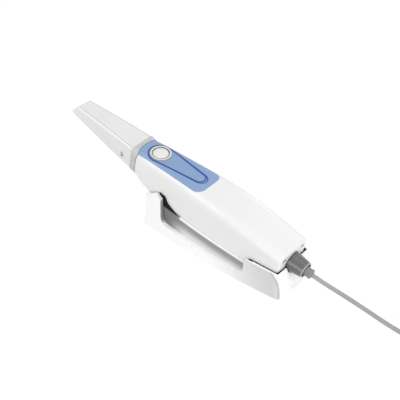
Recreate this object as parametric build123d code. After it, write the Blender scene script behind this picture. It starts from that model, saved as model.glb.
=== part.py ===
from build123d import *
from collections import namedtuple
from math import atan2, cos, degrees, pi, radians, sin, tan
import os

# The handpiece is drawn along its own axis: X runs from the tip to the cable,
# Z is up, and X = Z = 0 is the collar's front edge at the top. Millimetres.
Section = namedtuple("Section", "at half top bottom edge")

# Body sections from the collar to the cable end
BODY = [
    Section(at=8.0, half=16.6, top=1.6, bottom=-32.0, edge=10.5),
    Section(at=30.0, half=18.6, top=3.5, bottom=-40.0, edge=10.0),
    Section(at=62.0, half=20.5, top=6.0, bottom=-42.0, edge=9.5),
    Section(at=90.0, half=22.0, top=8.0, bottom=-41.0, edge=9.0),
    Section(at=122.0, half=22.6, top=8.9, bottom=-39.3, edge=8.5),
    Section(at=156.0, half=21.9, top=7.4, bottom=-36.3, edge=8.0),
    Section(at=188.5, half=20.8, top=4.2, bottom=-31.0, edge=7.5),
]
BOTTOM_EDGE_R = 12.0
REAR_EDGE_R = 3.0
WALL = 2.0
FRONT_WALL = 2.0
REAR_WALL = 4.0
PARTING = -24.0

# Tip sleeve sections from its front end to the collar
TIP = [
    Section(at=-92.0, half=7.9, top=-4.4, bottom=-17.8, edge=2.2),
    Section(at=-55.0, half=10.7, top=-1.9, bottom=-22.8, edge=2.4),
    Section(at=-27.0, half=12.7, top=-0.7, bottom=-26.0, edge=2.6),
    Section(at=0.0, half=14.8, top=0.0, bottom=-28.0, edge=2.8),
]
TIP_BOTTOM_R = 5.0
TIP_WALL = 1.5
TIP_SEAT_GAP = 0.3
TIP_EDGE_R = 1.3
BEVEL_AT = -79.2
BEVEL_TOP = -3.6
BEVEL_ANGLE = 49.0
WINDOW_AT = -80.0
WINDOW_LENGTH = 15.0
WINDOW_HALF = 5.6
WINDOW_R = 2.0
MIRROR_T = 1.0
MIRROR_SIDE_GAP = 0.3
LATCH_AT = -12.3
LATCH_Z = -16.5
LATCH_LENGTH = 4.6
LATCH_HEIGHT = 6.4
LATCH_R = 1.0
LATCH_PROUD = 0.3
LATCH_FIT = 0.1

# Collar between the tip and the body
COLLAR_STEP = 0.6
COLLAR_GAP = 0.2

# Optical nose inside the tip
NOSE_REACH = 42.0
NOSE_EDGE_R = 4.4
NOSE_GAP = 0.5
NOSE_WALL = 1.5
NOSE_FIT = 0.15
NOSE_FLANGE = 0.6
NOSE_FLANGE_T = 2.0
GLASS_T = 1.5
GLASS_LEDGE = 0.8
GLASS_FIT = 0.05

# Inlay panel and the groove round the button
PANEL_FRONT_HALF = 13.8
PANEL_REAR_HALF = 17.2
PANEL_REAR = 87.8
PANEL_CROWN = 3.0
PANEL_REAR_R = 8.0
PANEL_T = 1.2
PANEL_FIT = 0.1
GROOVE_FRONT_R = 12.6
GROOVE_WIDTH = 1.2
GROOVE_REAR_AT = 75.0
GROOVE_REAR_R = 7.0
GROOVE_INNER_AT = 73.4
GROOVE_INNER_R = 5.2
GROOVE_DEPTH = 0.5

# Button, its bezel and its switch
BUTTON_AT = 24.4
BUTTON_R = 7.6
BUTTON_PROUD = 0.3
BUTTON_DOME = 0.7
BUTTON_GAP = 0.6
BUTTON_STOP_GAP = 0.3
BUTTON_TRAVEL = 0.8
BUTTON_FLANGE = 1.6
BUTTON_FLANGE_T = 0.9
BEZEL_R = 10.9
BEZEL_PROUD = 0.8
BEZEL_EDGE_R = 0.7
BEZEL_SINK = 0.1
SWITCH_SIDE = 6.2
SWITCH_HEIGHT = 3.2
PLUNGER_R = 1.6
PLUNGER_FIT = 0.1
PLUNGER_REACH = 1.7
BUTTON_BOARD_LENGTH = 23.2
BUTTON_BOARD_WIDTH = 18.0
BOARD_T = 1.2
RIB_T = 1.4
RIB_WIDTH = 12.0

# Shell screws and posts
SCREW_FRONT_AT = 20.0
SCREW_REAR_AT = 166.0
SCREW_R = 1.1
SCREW_FIT = 0.05
SCREW_HEAD_R = 2.0
SCREW_HEAD_T = 1.6
SCREW_GRIP = 4.0
SCREW_BITE = 8.0
BOSS_R = 3.2
BOSS_BITE = 0.6
POST_R = 2.5

# Optics inside the body
CHASSIS_FRONT = 32.0
CHASSIS_REAR = 118.0
CHASSIS_HALF = 12.0
CHASSIS_BASE = -34.5
CHASSIS_T = 2.0
CHASSIS_POST_INSET = 10.0
CHASSIS_POST_Y = 7.0
OPTICAL_AXIS = -14.0
CAMERA_AT = 40.0
CAMERA_LENGTH = 14.0
CAMERA_WIDTH = 8.0
CAMERA_HEIGHT = 12.0
CAMERA_Y = 9.2
CAMERA_LENS_R = 3.4
CAMERA_LENS_LENGTH = 7.0
PROJECTOR_AT = 64.0
PROJECTOR_LENGTH = 28.0
PROJECTOR_WIDTH = 22.0
PROJECTOR_HEIGHT = 20.0
PROJECTOR_LENS_R = 4.6
PROJECTOR_LENS_LENGTH = 12.0
SINK_BASE_T = 3.0
SINK_FIN_LENGTH = 16.0
SINK_FIN_T = 1.2
SINK_FINS = 6

# Main circuit board
MAIN_BOARD_REAR_GAP = 4.5
MAIN_BOARD_LENGTH = 58.0
MAIN_BOARD_WIDTH = 24.0
MAIN_POST_INSET = 6.0
CHIP_SIDE = 14.0
CHIP_T = 2.0
CONNECTOR_LENGTH = 6.0
CONNECTOR_WIDTH = 16.0
CONNECTOR_T = 4.0

# Vent slots and strain relief at the cable end
VENT_Y = 13.6
VENT_LENGTH = 4.6
VENT_HEIGHT = 1.1
VENT_Z = -3.0
RELIEF_Z = -11.9
RELIEF_BASE_R = 10.0
RELIEF_END_R = 7.9
RELIEF_LENGTH = 17.0
RELIEF_EDGE_R = 0.6
RELIEF_RIM = 1.3
RELIEF_RECESS = 1.6
RELIEF_NECK_R = 6.0
RELIEF_NECK_FIT = 0.1
RELIEF_FLANGE_R = 8.5
RELIEF_FLANGE_T = 2.0
BUSH_R = 4.8
BUSH_LENGTH = 6.4
BUSH_WAIST_R = 4.2
BUSH_LIP = 2.0
BUSH_EDGE_R = 0.6

# Cord: its hand-chosen route after the bush, the coil of its spare length and its plug
CORD_R = 2.0
CORD_LEAD = 10.0
CORD_ROUTE = [
    (233.0, 3.6, 17.4),
    (249.0, 7.2, 11.8),
    (265.0, 9.8, 6.8),
    (281.0, 11.0, 3.4),
    (297.0, 11.3, 2.1),
    (312.0, 11.1, 2.4),
    (326.0, 11.5, 3.0),
]
BEND_SHARE = 0.45
COIL_R = 24.0
COIL_COLUMNS = 4
COIL_LAYERS = 4
COIL_PITCH = 4.1
TIE_T = 1.0
TIE_WIDTH = 10.0
TIE_GAP = 0.1
TIE_ANGLE = 75.0
PLUG_LENGTH = 26.0
PLUG_WIDTH = 15.0
PLUG_HEIGHT = 8.0
PLUG_R = 2.0
PLUG_OFFSET = 21.0
PLUG_AHEAD = 7.0
CONTACT_LENGTH = 12.0
CONTACT_WIDTH = 12.0
CONTACT_HEIGHT = 4.5
CONTACT_WALL = 0.4
TONGUE_T = 1.8

# How the handpiece lies in the cradle
TILT = 10.0
COLLAR_HEIGHT = 73.0

# Cradle: plan outlines at four heights, then the wall profile seen from the side
Level = namedtuple("Level", "height front rear front_half middle_half rear_half")
CRADLE = [
    Level(height=0.0, front=20.5, rear=190.5, front_half=26.2, middle_half=29.9, rear_half=25.8),
    Level(height=9.0, front=22.0, rear=188.2, front_half=25.2, middle_half=28.2, rear_half=24.8),
    Level(height=26.0, front=23.0, rear=186.6, front_half=24.2, middle_half=26.8, rear_half=24.0),
    Level(height=48.0, front=23.5, rear=186.2, front_half=23.6, middle_half=26.2, rear_half=23.6),
]
CRADLE_CORNER_R = 6.0
CRADLE_WALL = 2.6
CRADLE_FLOOR = 3.0
PRONG_HEIGHT = 46.6
PRONG_FRONT_HEIGHT = 36.0
PRONG_CREST = 40.5
PRONG_TOP_LENGTH = 5.0
PRONG_REAR = PRONG_CREST + PRONG_TOP_LENGTH
PRONG_TOP_R = 4.0
DIP_FRONT_HEIGHT = 12.5
DIP_REAR_HEIGHT = 7.6
DIP_REAR = 148.5
DIP_R = 8.5
RIM_HEIGHT = 27.3
RIM_R = 4.0
RAIL_FRONT_TOP = -36.7
RAIL_REAR_TOP = -23.2
RAIL_SHOW = 2.4
RAIL_WIDTH = 7.0
TRAY_REAR = 157.0
TRAY_T = 2.0
TRAY_FIT = 0.1
REST_GAP = 0.2
LINER_T = 1.3
LINER_FIT = 0.1
LINER_INSET = 0.3
LINER_EDGE = [(38.5, 44.8), (47.5, 42.8), (51.2, 36.0), (64.2, 28.6)]
NOTCH_GAP = 0.6
PAD_R = 5.0
PAD_T = 1.0
PAD_INSET = 16.0
PAD_Y = 16.0

# Tightest corner of any inner outline, and a length that spans any cut
SHARPEST = 0.4
BIG = 400.0


def section_face(section, grow, bottom_r):
    """Rounded outline of one section, grown outward all round."""
    half = section.half + grow
    top = section.top + grow
    bottom = section.bottom - grow
    corners = [(half, top), (-half, top), (-half, bottom), (half, bottom)]
    upper = max(section.edge + grow, SHARPEST)
    lower = max(bottom_r + grow, SHARPEST)
    outline = FilletPolyline(*corners, radius=[upper, upper, lower, lower], close=True)
    plane = Plane(origin=(section.at, 0, 0), x_dir=(0, 1, 0), z_dir=(1, 0, 0))
    return plane * make_face(outline)


def body_form(grow=0.0):
    """Smooth body of the handpiece, grown by a wall, a layer or a clearance."""
    return loft([section_face(s, grow, BOTTOM_EDGE_R) for s in BODY])


def tip_form(grow=0.0):
    """Smooth form of the tip sleeve before its front is bevelled."""
    return loft([section_face(s, grow, TIP_BOTTOM_R) for s in TIP])


def slab(x_low, x_high, half=BIG, z_low=-BIG, z_high=BIG):
    """Box between two stations along the handpiece."""
    box = Box(x_high - x_low, 2 * half, z_high - z_low)
    return Pos((x_low + x_high) / 2, 0, (z_low + z_high) / 2) * box


def block(x_low, x_high, y_low, y_high, z_low, z_high):
    """Box given by its limits."""
    box = Box(x_high - x_low, y_high - y_low, z_high - z_low)
    return Pos((x_low + x_high) / 2, (y_low + y_high) / 2, (z_low + z_high) / 2) * box


def rod(radius, x_low, x_high, y=0.0, z=0.0):
    """Cylinder along the handpiece's axis."""
    return Pos((x_low + x_high) / 2, y, z) * Rot(0, 90, 0) * Cylinder(radius, x_high - x_low)


def post(radius, x, y, z_low, z_high):
    """Upright cylinder."""
    return Pos(x, y, (z_low + z_high) / 2) * Cylinder(radius, z_high - z_low)


def body_at(x):
    """Body section at a station, between the two sections beside it."""
    for low, high in zip(BODY[:-1], BODY[1:]):
        if x <= high.at:
            break
    share = (x - low.at) / (high.at - low.at)
    values = [a + share * (b - a) for a, b in zip(low, high)]
    return Section(*values)


BODY_FRONT = BODY[0].at
BODY_REAR = BODY[-1].at
TIP_FRONT = TIP[0].at
CAVITY_FRONT = BODY_FRONT + FRONT_WALL
CAVITY_REAR = BODY_REAR - REAR_WALL
MAIN_BOARD_FRONT = CAVITY_REAR - MAIN_BOARD_REAR_GAP - MAIN_BOARD_LENGTH
RELIEF_REAR = BODY_REAR + RELIEF_LENGTH
BUSH_END = RELIEF_REAR + BUSH_LENGTH
NOSE_INSET = TIP_WALL + NOSE_GAP
PLACE = Pos(0, 0, COLLAR_HEIGHT) * Rot(0, TILT, 0)


# Button frame: on the panel's surface, square to it
BUTTON_SLOPE = degrees(atan2(BODY[2].top - BODY[0].top, BODY[2].at - BODY[0].at))
BUTTON_FRAME = Pos(BUTTON_AT, 0, body_at(BUTTON_AT).top) * Rot(0, -BUTTON_SLOPE, 0)
BUTTON_FLANGE_TOP = -(WALL + BUTTON_STOP_GAP)
BUTTON_BOTTOM = BUTTON_FLANGE_TOP - BUTTON_FLANGE_T
SWITCH_TOP = BUTTON_BOTTOM - BUTTON_TRAVEL - PLUNGER_FIT
BUTTON_BOARD_TOP = SWITCH_TOP - SWITCH_HEIGHT


def bevel_cut(inset):
    """All that lies in front of the tip's slanted face, moved inward by an inset."""
    run = Vector(-cos(radians(BEVEL_ANGLE)), 0, -sin(radians(BEVEL_ANGLE)))
    inward = Vector(-run.Z, 0, run.X)
    top = Vector(BEVEL_AT, 0, BEVEL_TOP) + inward * inset
    high = top - run * BIG
    low = top + run * BIG
    corners = [(high.X, high.Z), (low.X, low.Z), (low.X, high.Z)]
    face = Plane.XZ * make_face(Polyline(*corners, close=True))
    return extrude(face, amount=BIG, both=True)


def latch_cut(grow):
    """Pair of upright slots through both sides of the tip."""
    outline = RectangleRounded(LATCH_LENGTH + 2 * grow, LATCH_HEIGHT + 2 * grow, LATCH_R)
    return Pos(LATCH_AT, 0, LATCH_Z) * extrude(Plane.XZ * outline, amount=BIG, both=True)


def tip_sleeve():
    """Removable sleeve: tapered tube with a slanted front and a window underneath."""
    outer = (tip_form() & slab(-BIG, -TIP_SEAT_GAP)) - bevel_cut(0)
    slant = outer.faces().sort_by(Axis((0, 0, 0), (-1, 0, 1)))[-1]
    outer = fillet(slant.edges(), TIP_EDGE_R)
    sleeve = outer - (tip_form(-TIP_WALL) - bevel_cut(TIP_WALL))
    opening = extrude(RectangleRounded(WINDOW_LENGTH, 2 * WINDOW_HALF, WINDOW_R), amount=-BIG)
    sleeve -= Pos(WINDOW_AT, 0, TIP[0].bottom + TIP_WALL) * opening
    return sleeve - latch_cut(0)


def tip_mirror():
    """Mirror plate on the slanted wall inside the tip."""
    layer = bevel_cut(TIP_WALL + MIRROR_T) - bevel_cut(TIP_WALL)
    return layer & tip_form(-TIP_WALL - MIRROR_SIDE_GAP)


def nose_section(section, grow):
    """Outline of the nose inside one tip section, with softer edges than the tip's."""
    softer = section._replace(edge=NOSE_EDGE_R + NOSE_INSET)
    return section_face(softer, grow - NOSE_INSET, TIP_BOTTOM_R)


def nose_form(grow=0.0):
    """Tapered form of the nose, a clearance inside the tip's wall."""
    return loft([nose_section(s, grow) for s in TIP])


def nose_root(grow, length):
    """Straight root of the nose from the collar's front edge into the body."""
    return extrude(nose_section(TIP[-1], grow), amount=length)


def nose_tube():
    """Tapered optical nose with a straight root, a flange and a seat for its glass."""
    seat = -NOSE_REACH + GLASS_T
    rear = CAVITY_FRONT + NOSE_FLANGE_T
    tube = nose_form() & slab(-NOSE_REACH, 0)
    tube += nose_root(0, rear)
    tube += Pos(CAVITY_FRONT, 0, 0) * nose_root(NOSE_FLANGE, NOSE_FLANGE_T)
    tube -= nose_form(-NOSE_WALL) & slab(seat, 0)
    tube -= nose_root(-NOSE_WALL, rear)
    tube -= nose_form(-GLASS_LEDGE) & slab(-BIG, seat)
    return tube - latch_cut(LATCH_FIT)


def nose_glass():
    """Front glass of the nose, in its seat."""
    return nose_form(-GLASS_LEDGE - GLASS_FIT) & slab(-NOSE_REACH, -NOSE_REACH + GLASS_T)


def tip_latches():
    """Two spring pads in the nose that show through the sleeve's slots."""
    skin = nose_form(LATCH_PROUD) - nose_form(-NOSE_WALL)
    return skin & latch_cut(0) & slab(-NOSE_REACH, -TIP_SEAT_GAP)


def collar_form(grow=0.0):
    """Outer form of the collar, from just over the tip's section to the body's."""
    front = section_face(TIP[-1], COLLAR_STEP + grow, TIP_BOTTOM_R)
    rear = section_face(BODY[0], grow, BOTTOM_EDGE_R)
    return loft([front, rear])


def collar():
    """Grey ring round the nose, between the tip and the body, cut back for the panel's arch."""
    ring = collar_form() & slab(0, BODY_FRONT - COLLAR_GAP)
    ring -= panel_prism(PANEL_FIT) - collar_form(-PANEL_T)
    return ring - nose_root(NOSE_FIT, BODY_FRONT)


def panel_prism(grow):
    """Plan outline of the inlay panel, standing up through the body's top."""
    rear = PANEL_REAR + grow
    corners = [
        (BODY_FRONT, -PANEL_FRONT_HALF - grow),
        (rear, -PANEL_REAR_HALF - grow),
        (rear, PANEL_REAR_HALF + grow),
        (BODY_FRONT, PANEL_FRONT_HALF + grow),
    ]
    radii = [0, PANEL_REAR_R + grow, PANEL_REAR_R + grow, 0]
    field = make_face(FilletPolyline(*corners, radius=radii, close=True))
    crown = (BODY_FRONT - PANEL_CROWN - grow, 0)
    arch = make_face([ThreePointArc(corners[0], crown, corners[-1]), Line(corners[-1], corners[0])])
    return Pos(0, 0, -PANEL_REAR_R) * extrude(field + arch, amount=BIG)


def teardrop(front_r, rear_at, rear_r):
    """Outline round the button that tapers towards the cable end."""
    front = Pos(BUTTON_AT, 0) * Circle(front_r)
    rear = Pos(rear_at, 0) * Circle(rear_r)
    return make_hull(front.edges() + rear.edges())


def inlay_panel():
    """Blue inlay that follows the body's top, with a hole and a teardrop groove."""
    skin = (body_form() - body_form(-PANEL_T)) + (collar_form() - collar_form(-PANEL_T))
    panel = skin & panel_prism(0)
    outer = teardrop(GROOVE_FRONT_R, GROOVE_REAR_AT, GROOVE_REAR_R)
    inner = teardrop(GROOVE_FRONT_R - GROOVE_WIDTH, GROOVE_INNER_AT, GROOVE_INNER_R)
    panel -= extrude(outer - inner, amount=BIG) - body_form(-GROOVE_DEPTH)
    return panel - BUTTON_FRAME * Cylinder(BEZEL_R + PANEL_FIT, BIG)


def button_bezel():
    """Light ring round the button."""
    height = PANEL_T + BEZEL_SINK + BEZEL_PROUD
    ring = Cylinder(BEZEL_R, height) - Cylinder(BUTTON_R + BUTTON_GAP, height)
    crown = ring.faces().sort_by(Axis.Z)[-1]
    ring = fillet(crown.edges(), BEZEL_EDGE_R)
    return BUTTON_FRAME * Pos(0, 0, BEZEL_PROUD - height / 2) * ring


def button_cap():
    """Domed press button with a flange that the shell holds from above."""
    rim = BUTTON_PROUD
    outline = [
        Line((0, BUTTON_BOTTOM), (BUTTON_R + BUTTON_FLANGE, BUTTON_BOTTOM)),
        Line((BUTTON_R + BUTTON_FLANGE, BUTTON_BOTTOM), (BUTTON_R + BUTTON_FLANGE, BUTTON_FLANGE_TOP)),
        Line((BUTTON_R + BUTTON_FLANGE, BUTTON_FLANGE_TOP), (BUTTON_R, BUTTON_FLANGE_TOP)),
        Line((BUTTON_R, BUTTON_FLANGE_TOP), (BUTTON_R, rim)),
        TangentArc((0, rim + BUTTON_DOME), (BUTTON_R, rim), tangent=(1, 0)),
        Line((0, rim + BUTTON_DOME), (0, BUTTON_BOTTOM)),
    ]
    return BUTTON_FRAME * revolve(Plane.XZ * make_face(outline), Axis.Z)


def switch_plunger():
    """Plunger between the button and its switch."""
    low = SWITCH_TOP + PLUNGER_FIT + BUTTON_TRAVEL - PLUNGER_REACH
    return BUTTON_FRAME * post(PLUNGER_R, 0, 0, low, BUTTON_BOTTOM)


def tact_switch():
    """Switch housing with a bore for its plunger."""
    low = BUTTON_BOARD_TOP
    side = SWITCH_SIDE / 2
    housing = block(-side, side, -side, side, low, SWITCH_TOP)
    bore_floor = SWITCH_TOP - PLUNGER_REACH
    bore = post(PLUNGER_R + PLUNGER_FIT, 0, 0, bore_floor, SWITCH_TOP)
    return BUTTON_FRAME * (housing - bore)


def button_board():
    """Small circuit board under the button."""
    long = BUTTON_BOARD_LENGTH / 2
    wide = BUTTON_BOARD_WIDTH / 2
    low = BUTTON_BOARD_TOP - BOARD_T
    return BUTTON_FRAME * block(-long, long, -wide, wide, low, BUTTON_BOARD_TOP)


def button_ribs():
    """Two ribs that hang from the upper shell and carry the button board."""
    far = BUTTON_BOARD_LENGTH / 2
    near = far - RIB_T
    half = RIB_WIDTH / 2
    ribs = block(near, far, -half, half, BUTTON_BOARD_TOP, WALL)
    ribs += block(-far, -near, -half, half, BUTTON_BOARD_TOP, WALL)
    return BUTTON_FRAME * ribs


def screw_places():
    """Plan positions of the shell screws."""
    places = []
    for x in (SCREW_FRONT_AT, SCREW_REAR_AT):
        y = body_at(x).half - WALL - BOSS_R + BOSS_BITE
        places += [(x, -y), (x, y)]
    return places


def shell_screws():
    """Four screws from below, as one group."""
    screws = []
    seat = PARTING - SCREW_GRIP
    for x, y in screw_places():
        shank = post(SCREW_R, x, y, seat, PARTING + SCREW_BITE)
        screws.append(shank + post(SCREW_HEAD_R, x, y, seat - SCREW_HEAD_T, seat))
    return Compound(screws)


def chassis_posts():
    """Posts of the lower shell under the optics chassis."""
    places = []
    for x in (CHASSIS_FRONT + CHASSIS_POST_INSET, CHASSIS_REAR - CHASSIS_POST_INSET):
        places += [(x, -CHASSIS_POST_Y), (x, CHASSIS_POST_Y)]
    return places


def board_posts():
    """Posts of the lower shell under the main board."""
    y = MAIN_BOARD_WIDTH / 2 - POST_R
    places = []
    for x in (MAIN_BOARD_FRONT + MAIN_POST_INSET, MAIN_BOARD_FRONT + MAIN_BOARD_LENGTH - MAIN_POST_INSET):
        places += [(x, -y), (x, y)]
    return places


def hollow_body():
    """Body wall all round, rounded at the cable end, with the nose hole and vents."""
    outer = body_form()
    rear_face = outer.faces().sort_by(Axis.X)[-1]
    outer = fillet(rear_face.edges(), REAR_EDGE_R)
    wall = outer - (body_form(-WALL) & slab(CAVITY_FRONT, CAVITY_REAR))
    wall -= nose_root(NOSE_FIT, CAVITY_FRONT)
    for y in (-VENT_Y, VENT_Y):
        high = VENT_Z + VENT_HEIGHT
        wall -= block(CAVITY_REAR - WALL, BIG, y - VENT_LENGTH / 2, y + VENT_LENGTH / 2, VENT_Z, high)
    return wall - rod(RELIEF_NECK_R + RELIEF_NECK_FIT, CAVITY_REAR - WALL, BIG, z=RELIEF_Z)


def upper_shell(wall):
    """Upper half: panel pocket, button hole, ribs and screw bosses."""
    shell = wall & slab(-BIG, BIG, z_low=PARTING)
    shell -= panel_prism(PANEL_FIT) - body_form(-PANEL_T)
    shell += button_ribs() & body_form(-PANEL_T - PANEL_FIT)
    bore = Cylinder(BUTTON_R + BUTTON_GAP, 2 * (WALL + BUTTON_STOP_GAP))
    seat = post(BEZEL_R + PANEL_FIT, 0, 0, -PANEL_T - BEZEL_SINK, WALL)
    shell -= BUTTON_FRAME * (bore + seat)
    bosses = [post(BOSS_R, x, y, PARTING, PARTING + SCREW_BITE + WALL) for x, y in screw_places()]
    for boss in bosses:
        shell += boss & body_form(-WALL / 2)
    for x, y in screw_places():
        shell -= post(SCREW_R + SCREW_FIT, x, y, PARTING, PARTING + SCREW_BITE + SCREW_FIT)
    return shell


def lower_shell(wall):
    """Lower half: screw bosses with counterbores, and posts for chassis and board."""
    shell = wall & slab(-BIG, BIG, z_high=PARTING)
    inner = body_form(-WALL / 2)
    for x, y in screw_places():
        shell += post(BOSS_R, x, y, -BIG / 2, PARTING) & inner
    for x, y in chassis_posts():
        shell += post(POST_R, x, y, -BIG / 2, CHASSIS_BASE) & inner
    for x, y in board_posts():
        shell += post(POST_R, x, y, -BIG / 2, PARTING) & inner
    seat = PARTING - SCREW_GRIP
    for x, y in screw_places():
        shell -= post(SCREW_R + SCREW_FIT, x, y, seat, PARTING)
        shell -= post(SCREW_HEAD_R + SCREW_FIT, x, y, -BIG / 2, seat)
    return shell


def optics_chassis():
    """Base plate with a pedestal for the cameras and one for the projector."""
    top = CHASSIS_BASE + CHASSIS_T
    half = CHASSIS_HALF
    frame = block(CHASSIS_FRONT, CHASSIS_REAR, -half, half, CHASSIS_BASE, top)
    camera_seat = OPTICAL_AXIS - CAMERA_HEIGHT / 2
    camera_half = CAMERA_Y + CAMERA_WIDTH / 2
    camera_rear = CAMERA_AT + CAMERA_LENGTH
    frame += block(CAMERA_AT, camera_rear, -camera_half, camera_half, CHASSIS_BASE, camera_seat)
    seat = OPTICAL_AXIS - PROJECTOR_HEIGHT / 2
    wide = PROJECTOR_WIDTH / 2
    frame += block(PROJECTOR_AT, PROJECTOR_AT + PROJECTOR_LENGTH, -wide, wide, CHASSIS_BASE, seat)
    return frame


def camera_module(side):
    """Camera with its lens barrel towards the tip."""
    y = side * CAMERA_Y
    wide = CAMERA_WIDTH / 2
    tall = CAMERA_HEIGHT / 2
    rear = CAMERA_AT + CAMERA_LENGTH
    camera = block(CAMERA_AT, rear, y - wide, y + wide, OPTICAL_AXIS - tall, OPTICAL_AXIS + tall)
    return camera + rod(CAMERA_LENS_R, CAMERA_AT - CAMERA_LENS_LENGTH, CAMERA_AT, y, OPTICAL_AXIS)


def projector_module():
    """Pattern projector on the optical axis, its lens between the cameras."""
    wide = PROJECTOR_WIDTH / 2
    tall = PROJECTOR_HEIGHT / 2
    rear = PROJECTOR_AT + PROJECTOR_LENGTH
    box = block(PROJECTOR_AT, rear, -wide, wide, OPTICAL_AXIS - tall, OPTICAL_AXIS + tall)
    return box + rod(PROJECTOR_LENS_R, PROJECTOR_AT - PROJECTOR_LENS_LENGTH, PROJECTOR_AT, 0, OPTICAL_AXIS)


def heat_sink():
    """Finned block on the back of the projector."""
    front = PROJECTOR_AT + PROJECTOR_LENGTH
    wide = PROJECTOR_WIDTH / 2
    tall = PROJECTOR_HEIGHT / 2
    low = OPTICAL_AXIS - tall
    high = OPTICAL_AXIS + tall
    sink = block(front, front + SINK_BASE_T, -wide, wide, low, high)
    fin_rear = front + SINK_BASE_T + SINK_FIN_LENGTH
    pitch = (PROJECTOR_WIDTH - SINK_FIN_T) / (SINK_FINS - 1)
    for index in range(SINK_FINS):
        y = -wide + index * pitch
        sink += block(front, fin_rear, y, y + SINK_FIN_T, low, high)
    return sink


def main_board():
    """Main circuit board with its processor and its cable connector."""
    rear = MAIN_BOARD_FRONT + MAIN_BOARD_LENGTH
    wide = MAIN_BOARD_WIDTH / 2
    top = PARTING + BOARD_T
    board = block(MAIN_BOARD_FRONT, rear, -wide, wide, PARTING, top)
    chip = CHIP_SIDE / 2
    middle = MAIN_BOARD_FRONT + MAIN_BOARD_LENGTH / 2
    board += block(middle - chip, middle + chip, -chip, chip, top, top + CHIP_T)
    plug = CONNECTOR_WIDTH / 2
    board += block(MAIN_BOARD_FRONT, MAIN_BOARD_FRONT + CONNECTOR_LENGTH, -plug, plug, top, top + CONNECTOR_T)
    return board


def turned(profile):
    """Solid of revolution about the strain relief's axis from (station, radius) corners."""
    face = Plane.XZ * make_face(Polyline(*profile, close=True))
    return revolve(face, Axis.X)


def end_circles(solid):
    """Circles on the solid's rearmost face."""
    return solid.edges().filter_by(GeomType.CIRCLE).group_by(Axis.X)[-1]


def strain_relief():
    """Soft cone clamped in the rear wall by its neck and inner flange, recessed at its end."""
    floor = RELIEF_REAR - RELIEF_RECESS
    inner = RELIEF_END_R - RELIEF_RIM
    cone = turned([
        (CAVITY_REAR - RELIEF_FLANGE_T, 0),
        (CAVITY_REAR - RELIEF_FLANGE_T, RELIEF_FLANGE_R),
        (CAVITY_REAR, RELIEF_FLANGE_R),
        (CAVITY_REAR, RELIEF_NECK_R),
        (BODY_REAR, RELIEF_NECK_R),
        (BODY_REAR, RELIEF_BASE_R),
        (RELIEF_REAR, RELIEF_END_R),
        (RELIEF_REAR, inner),
        (floor, inner),
        (floor, 0),
    ])
    return Pos(0, 0, RELIEF_Z) * fillet(end_circles(cone), RELIEF_EDGE_R)


def cable_bush():
    """Waisted bush in the strain relief's end, which the cord leaves."""
    floor = RELIEF_REAR - RELIEF_RECESS
    lip = BUSH_END - BUSH_LIP
    bush = turned([
        (floor, 0),
        (floor, BUSH_R),
        (RELIEF_REAR, BUSH_R),
        (lip, BUSH_WAIST_R),
        (lip, BUSH_R),
        (BUSH_END, BUSH_R),
        (BUSH_END, 0),
    ])
    return Pos(0, 0, RELIEF_Z) * fillet(end_circles(bush), BUSH_EDGE_R)


def cord_points():
    """Route of the cord: straight out of the bush, then down to the floor and the coil."""
    exit_point = (PLACE * Pos(BUSH_END, 0, RELIEF_Z)).position
    lead_point = (PLACE * Pos(BUSH_END + CORD_LEAD, 0, RELIEF_Z)).position
    return [exit_point, lead_point] + [Vector(*point) for point in CORD_ROUTE]


def bend_radii(points):
    """Largest arcs that the runs on both sides of each corner leave room for."""
    radii = []
    for before, corner, after in zip(points[:-2], points[1:-1], points[2:]):
        arriving = corner - before
        leaving = after - corner
        half_turn = radians(arriving.get_angle(leaving)) / 2
        shorter = min(arriving.length, leaving.length)
        radii.append(BEND_SHARE * shorter / tan(half_turn))
    return radii


def cord():
    """Tube along the stretch of cord that is not coiled."""
    points = cord_points()
    radii = bend_radii(points)
    print("cord bend radii", [round(radius, 1) for radius in radii])
    path = FilletPolyline(*points, radius=radii)
    tube = sweep(Plane(origin=path @ 0, z_dir=path % 0) * Circle(CORD_R), path=path)
    print("cord length", path.length, "volume over section", tube.volume / (pi * CORD_R**2))
    return tube


COIL_WIDTH = COIL_PITCH * (COIL_COLUMNS - 1) + 2 * CORD_R
COIL_HEIGHT = COIL_PITCH * (COIL_LAYERS - 1) + 2 * CORD_R
COIL_OUTER = COIL_R + COIL_WIDTH / 2
COIL_INNER = COIL_R - COIL_WIDTH / 2
COIL_PLACE = Pos(CORD_ROUTE[-1][0], CORD_ROUTE[-1][1] + COIL_OUTER - CORD_R, TIE_T)


def cord_coil():
    """Outer shape of the coil that holds the rest of the cord."""
    ring = Circle(COIL_OUTER) - Circle(COIL_INNER)
    return COIL_PLACE * extrude(ring, amount=COIL_HEIGHT)


def cord_tie():
    """Band round the coil's turns."""
    reach = (COIL_INNER**2 - (TIE_WIDTH / 2) ** 2) ** 0.5
    inner = block(reach - TIE_GAP, COIL_OUTER + TIE_GAP, -TIE_WIDTH, TIE_WIDTH, 0, COIL_HEIGHT + TIE_GAP)
    half = TIE_WIDTH / 2
    low = reach - TIE_GAP - TIE_T
    high = COIL_OUTER + TIE_GAP + TIE_T
    band = block(low, high, -half, half, -TIE_T, COIL_HEIGHT + TIE_GAP + TIE_T) - inner
    return COIL_PLACE * Rot(0, 0, TIE_ANGLE) * band


PLUG_PLACE = COIL_PLACE * Pos(PLUG_AHEAD, -PLUG_OFFSET, COIL_HEIGHT + PLUG_HEIGHT / 2)


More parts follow.
